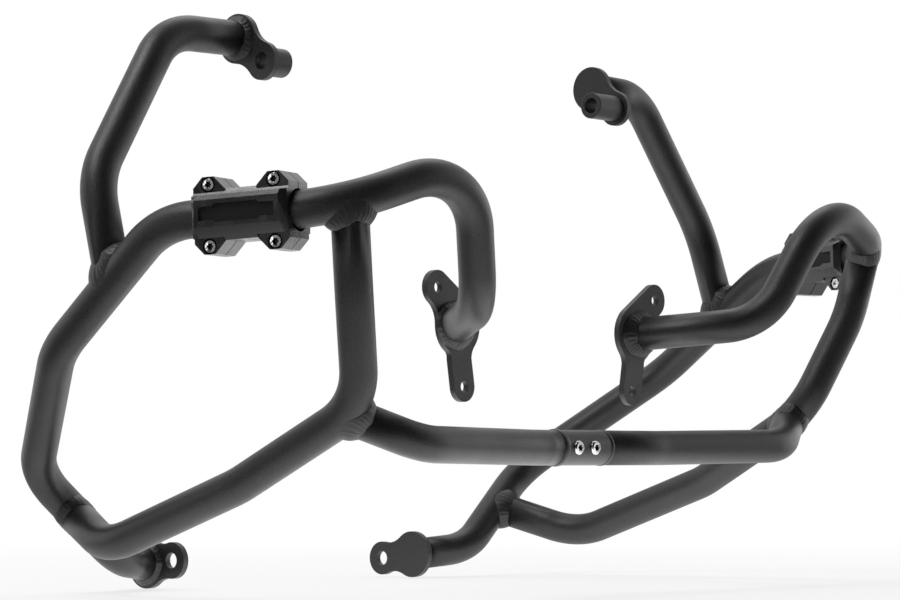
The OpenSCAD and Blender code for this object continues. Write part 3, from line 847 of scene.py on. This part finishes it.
def slider_shell(middle, lengthwise, up, outward):
    """One half of a slider block: a bevelled bar over the tube, two ridges and four screw lugs"""
    bm = bmesh.new()
    turns = [math.radians(SLIDER_BORE_START + (180 - 2 * SLIDER_BORE_START) * i / SLIDER_BORE_STEPS)
             for i in range(SLIDER_BORE_STEPS + 1)]
    bore = [(-SLIDER_BORE * math.cos(turn), SLIDER_BORE * math.sin(turn)) for turn in turns]
    bar(bm, SLIDER_SECTION + tuple(bore), SLIDER_STATIONS)
    face = next(f for f in bm.faces if all(v.co.z > SLIDER_FACE - 0.01 for v in f.verts))
    border = list(face.edges)
    bmesh.ops.delete(bm, geom=[face], context="FACES_ONLY")
    recess = loop_of(bm, [(x, y, SLIDER_FACE) for x, y in SLIDER_RECESS])
    bmesh.ops.triangle_fill(bm, use_beauty=True, edges=border + recess, normal=(0, 0, 1))
    floor = push_on(bm, recess, Vector((0, 0, -SLIDER_RECESS_DEPTH)))
    bmesh.ops.scale(bm, verts=list({v for e in floor for v in e.verts}), vec=SLIDER_RECESS_DRAFT)
    # The recess floor takes the second material, a painted shade
    for made in bmesh.ops.contextual_create(bm, geom=floor)["faces"]:
        made.material_index = 1
    for ridge in SLIDER_RIDGES:
        bar(bm, ridge, ((-SLIDER_RIDGE_END, SLIDER_FACE), (SLIDER_RIDGE_END, SLIDER_FACE)))
    for sx, sy in CORNERS:
        outline = loop_of(bm, [(x * sx, y * sy, SLIDER_LUG_TOP) for x, y in SLIDER_LUG])
        turns = [2 * math.pi * i / COUNTERBORE_RING for i in range(COUNTERBORE_RING)]
        hole = loop_of(bm, [(sx * SLIDER_SCREW[0] + SLIDER_COUNTERBORE * math.cos(turn),
                             sy * SLIDER_SCREW[1] + SLIDER_COUNTERBORE * math.sin(turn),
                             SLIDER_LUG_TOP) for turn in turns])
        bmesh.ops.triangle_fill(bm, use_beauty=True, edges=outline + hole, normal=(0, 0, 1))
        for loop, bottom in ((hole, SLIDER_SEAT), (outline, SLIDER_SPLIT)):
            deep = push_on(bm, loop, Vector((0, 0, bottom - SLIDER_LUG_TOP)))
            bmesh.ops.contextual_create(bm, geom=deep)
    place = Matrix.Identity(4)
    for column, direction in enumerate((lengthwise, up, outward)):
        for row in range(3):
            place[row][column] = direction[row] * MM
            place[row][3] = middle[row]
    bmesh.ops.transform(bm, matrix=place, verts=bm.verts)
    return bm


class CRASHBAR_OT_tubes(bpy.types.Operator):
    """Draws the bent tubes of both halves and the weld beads at their ends"""
    bl_idname = "crashbar.tubes"
    bl_label = "Tubes and Welds"

    def execute(self, context):
        radius = sizes().tube_diameter / 2
        leg = sizes().bead_leg
        plate_leg = sizes().plate_bead_leg
        for word, side in SIDES.items():
            main_path, lower_path, cross_path, arm_path = (
                [at(corner, side) for corner in tube]
                for tube in (MAIN_TUBE, LOWER_TUBE, CROSS_TUBE, REAR_ARM))
            if side < 0:
                cross_path[-1].x = -SLEEVE_LENGTH * MM
            front = PlaneTarget(at((0, FRONT_PLATE_Y, 0)), Vector((0, -1, 0)))
            foot = PlaneTarget(at((FOOT_PLATE_X, 0, 0), side), Vector((side, 0, 0)))
            top = PlaneTarget(at((ARM_PLATE_X, 0, 0), side), Vector((side, 0, 0)))

            main, main_start, main_end = draw_tube(main_path, MAIN_BENDS, radius)
            front_away, foot_away = into_path(main_path)
            fit_ring(main_start, front_away, front)
            fit_ring(main_end, foot_away, foot)
            main_target = TubeTarget(main)
            finish_tube(word + "_main_tube_coated", main, word + "_main_tube")

            lower, lower_start, lower_end = draw_tube(lower_path, LOWER_BENDS, radius)
            lower_away, lower_back = into_path(lower_path)
            lower_target = TubeTarget(lower)
            fit_ring(lower_start, lower_away, main_target)
            fit_ring(lower_end, lower_back, main_target)
            finish_tube(word + "_lower_tube_coated", lower, word + "_lower_tube")

            cross, cross_start, _ = draw_tube(cross_path, CROSS_BENDS, radius)
            cross_away, _ = into_path(cross_path)
            fit_ring(cross_start, cross_away, lower_target)
            finish_tube(word + "_cross_tube_coated", cross, word + "_cross_tube")

            arm, arm_start, arm_end = draw_tube(arm_path, ARM_BENDS, radius)
            arm_away, arm_back = into_path(arm_path)
            fit_ring(arm_start, arm_away, main_target)
            fit_ring(arm_end, arm_back, top)
            finish_tube(word + "_upper_rear_arm_coated", arm, word + "_upper_rear_arm")

            joints = {
                "lower_front": (lower_path[0], lower_away, main_target, leg),
                "lower_rear": (lower_path[-1], lower_back, main_target, leg),
                "cross_tube": (cross_path[0], cross_away, lower_target, leg),
                "rear_arm": (arm_path[0], arm_away, main_target, leg),
                "front_plate": (main_path[0], front_away, front, plate_leg),
                "foot": (main_path[-1], foot_away, foot, plate_leg),
                "arm_plate": (arm_path[-1], arm_back, top, plate_leg),
            }
            for name, (start, away, target, full_leg) in joints.items():
                phase, share, node = BEADS[name]
                bead(word + "_" + name + "_bead", node and word + "_" + node,
                     start, away, target, full_leg * share, phase)
        return {"FINISHED"}


class CRASHBAR_OT_plates(bpy.types.Operator):
    """Cuts the waisted front plates, rounds the edges of all plates and spacers and coats them"""
    bl_idname = "crashbar.plates"
    bl_label = "Plates and Spacers"

    def execute(self, context):
        outline = lobed_outline(FRONT_LOBES)
        for word, side in SIDES.items():
            front = new_piece(word + "_front_plate_coated", cut_plate(outline, FRONT_HOLES, side),
                              "coated_plate", word + "_front_plate")
            round_edges(front, sizes().edge_round)
            for part in ("upper_rear_plate", "lower_rear_plate", "spacer"):
                node = nodes[word + "_" + part]
                paint(node, "coated_plate")
                round_edges(node, sizes().edge_round)
        return {"FINISHED"}


class CRASHBAR_OT_coupling(bpy.types.Operator):
    """Finishes the sleeve, its weld rings, the spigot and the two screws"""
    bl_idname = "crashbar.coupling"
    bl_label = "Coupling"

    def execute(self, context):
        for name, slot in (("coupling_sleeve", "coated_tube"), ("coupling_spigot", "spigot_steel")):
            paint(nodes[name], slot)
            round_edges(nodes[name], BLOCK_EDGE, 2)
        for name, ring in WELD_RINGS.items():
            ring_bead(name, *ring)
        y, z = COUPLING_AXIS
        head_top = y - COUPLING_SEAT - COUPLING_SCREW[2]
        places = [facing_front(at((x, head_top, z))) for x in COUPLING_SCREWS]
        screws("coupling_screws_plated", "coupling_screws", places, COUPLING_SCREW)
        return {"FINISHED"}


class CRASHBAR_OT_sliders(bpy.types.Operator):
    """Finishes the slider blocks, their liners, screws and nuts"""
    bl_idname = "crashbar.sliders"
    bl_label = "Slider Blocks"

    def execute(self, context):
        for word, side in SIDES.items():
            middle, lengthwise, up, outward = slider_axes(side)
            inward = -outward * SLIDER_BACK_DEPTH
            for half, ahead, depth in (("front", lengthwise, outward), ("back", -lengthwise, inward)):
                node = word + "_slider_" + half
                shell = new_piece(node + "_moulded", slider_shell(middle, ahead, up, depth),
                                  "block_plastic", node)
                # The second material paints shade on the floor of the recess
                shell.data.materials.append(material_for("recess_painted_shade"))
                round_edges(shell, BLOCK_EDGE, 2)
            paint(nodes[word + "_slider_liner"], "liner_rubber")
            round_edges(nodes[word + "_slider_liner"], LINER_EDGE, 2)
            paint(nodes[word + "_slider_nuts"], "nut_steel")
            round_edges(nodes[word + "_slider_nuts"], NUT_EDGE, 2)
            head_top = middle + outward * (SLIDER_SEAT + SLIDER_CAP_SCREW[2]) * MM
            across, high = lengthwise * SLIDER_SCREW[0] * MM, up * SLIDER_SCREW[1] * MM
            places = [along(head_top + across * sx + high * sy, outward) for sx, sy in CORNERS]
            screws(word + "_slider_screws_plated", word + "_slider_screws", places, SLIDER_CAP_SCREW)
        return {"FINISHED"}


class CRASHBAR_OT_stage(bpy.types.Operator):
    """Sets up the pale floor, lamps, world and camera"""
    bl_idname = "crashbar.stage"
    bl_label = "Stage"

    def execute(self, context):
        self.floor(cad_box[0][2] - FLOOR_GAP)
        self.world()
        for lamp in LAMPS:
            self.lamp(*lamp)
        self.camera()
        context.scene.view_settings.view_transform = "Standard"
        return {"FINISHED"}

    def floor(self, height):
        """A wide floor that catches the shadow and fades to plain white away from the object"""
        bm = bmesh.new()
        bmesh.ops.create_grid(bm, x_segments=1, y_segments=1, size=FLOOR_SIZE,
                              matrix=Matrix.Translation((0, 0, height)))
        mesh = bpy.data.meshes.new("floor")
        bm.to_mesh(mesh)
        bm.free()
        floor = bpy.data.objects.new("floor", mesh)
        bpy.context.scene.collection.objects.link(floor)
        material, tree, shader = new_material("floor_paper", finish().floor_colour, 0.9)
        shader.inputs["Specular IOR Level"].default_value = 0.1
        distance = measure(tree, "Object", "LENGTH")
        near = remap(tree, distance, *FLOOR_NEAR)
        behind = remap(tree, measure(tree, "Object", "DOT_PRODUCT", DARK_SIDE), *FLOOR_BEHIND)
        glossy = tree.nodes.new("ShaderNodeLightPath").outputs["Is Glossy Ray"]
        glow = calculate(tree, "MULTIPLY_ADD", glossy, calculate(tree, "MAXIMUM", near, behind), 1.0)
        white = tree.nodes.new("ShaderNodeEmission")
        tree.links.new(glow, white.inputs["Strength"])
        fade = remap(tree, distance, *FLOOR_FADE)
        share = calculate(tree, "MULTIPLY", fade, self.seen(tree, FLOOR_GLOSS))
        mix = tree.nodes.new("ShaderNodeMixShader")
        tree.links.new(share, mix.inputs["Fac"])
        tree.links.new(shader.outputs["BSDF"], mix.inputs[1])
        tree.links.new(white.outputs["Emission"], mix.inputs[2])
        tree.links.new(mix.outputs["Shader"], tree.nodes["Material Output"].inputs["Surface"])
        mesh.materials.append(material)

    def seen(self, tree, gloss):
        """1 for rays from the camera or through glass, a given number for rays from gloss, or 0"""
        path = tree.nodes.new("ShaderNodeLightPath")
        value = calculate(tree, "MULTIPLY", path.outputs["Is Glossy Ray"], gloss)
        for kind in ("Is Camera Ray", "Is Transmission Ray"):
            value = calculate(tree, "MAXIMUM", value, path.outputs[kind])
        return value

    def world(self):
        """White to the camera; to the object, a white surround with a dark side at the front"""
        world = bpy.data.worlds.new("studio")
        bpy.context.scene.world = world
        world.use_nodes = True
        tree = world.node_tree
        ground = tree.nodes["Background"]
        ground.inputs["Color"].default_value = (1, 1, 1, 1)
        around = remap(tree, measure(tree, "Generated", "DOT_PRODUCT", DARK_SIDE), *SURROUND)
        strength = calculate(tree, "MAXIMUM", around, self.seen(tree, 0.0))
        tree.links.new(strength, ground.inputs["Strength"])

    def lamp(self, name, place, size, power):
        """A square softbox that faces the object"""
        data = bpy.data.lights.new(name, "AREA")
        data.shape = "SQUARE"
        data.size = size
        data.energy = power
        lamp = bpy.data.objects.new(name, data)
        lamp.location = place
        lamp.rotation_euler = (-Vector(place)).to_track_quat("-Z", "Y").to_euler()
        bpy.context.scene.collection.objects.link(lamp)

    def camera(self):
        """The camera, placed and turned as fitted to the photograph"""
        data = bpy.data.cameras.new("camera")
        data.sensor_width = 36
        data.lens = CAMERA_LENS
        data.shift_x, data.shift_y = CAMERA_SHIFT
        data.clip_end = 100
        camera = bpy.data.objects.new("camera", data)
        camera.location = CAMERA_PLACE
        camera.rotation_euler = (math.radians(90 - CAMERA_ELEVATION), 0,
                                 math.radians(CAMERA_AZIMUTH))
        bpy.context.scene.collection.objects.link(camera)
        bpy.context.scene.camera = camera


class CRASHBAR_PT_panel(bpy.types.Panel):
    """Lists the steps that dress the crash bars"""
    bl_idname = "CRASHBAR_PT_panel"
    bl_label = "Crash Bars"
    bl_space_type = "VIEW_3D"
    bl_region_type = "UI"
    bl_category = "Crash Bars"

    def draw(self, context):
        layout = self.layout
        for group in (context.scene.crash_bar_sizes, context.scene.crash_bar_finish):
            box = layout.box()
            for name in group.__annotations__:
                box.prop(group, name)
        for operator in OPERATORS:
            layout.operator(operator.bl_idname)


OPERATORS = (CRASHBAR_OT_tubes, CRASHBAR_OT_plates, CRASHBAR_OT_coupling, CRASHBAR_OT_sliders,
             CRASHBAR_OT_stage)
CLASSES = (CrashBarSizes, CrashBarFinish, *OPERATORS, CRASHBAR_PT_panel)


def register():
    for cls in CLASSES:
        bpy.utils.register_class(cls)
    bpy.types.Scene.crash_bar_sizes = bpy.props.PointerProperty(type=CrashBarSizes)
    bpy.types.Scene.crash_bar_finish = bpy.props.PointerProperty(type=CrashBarFinish)


def unregister():
    del bpy.types.Scene.crash_bar_finish
    del bpy.types.Scene.crash_bar_sizes
    for cls in reversed(CLASSES):
        bpy.utils.unregister_class(cls)


def main():
    register()
    bpy.ops.crashbar.tubes()
    bpy.ops.crashbar.plates()
    bpy.ops.crashbar.coupling()
    bpy.ops.crashbar.sliders()
    bpy.ops.crashbar.stage()
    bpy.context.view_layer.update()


if __name__ == "__main__":
    main()
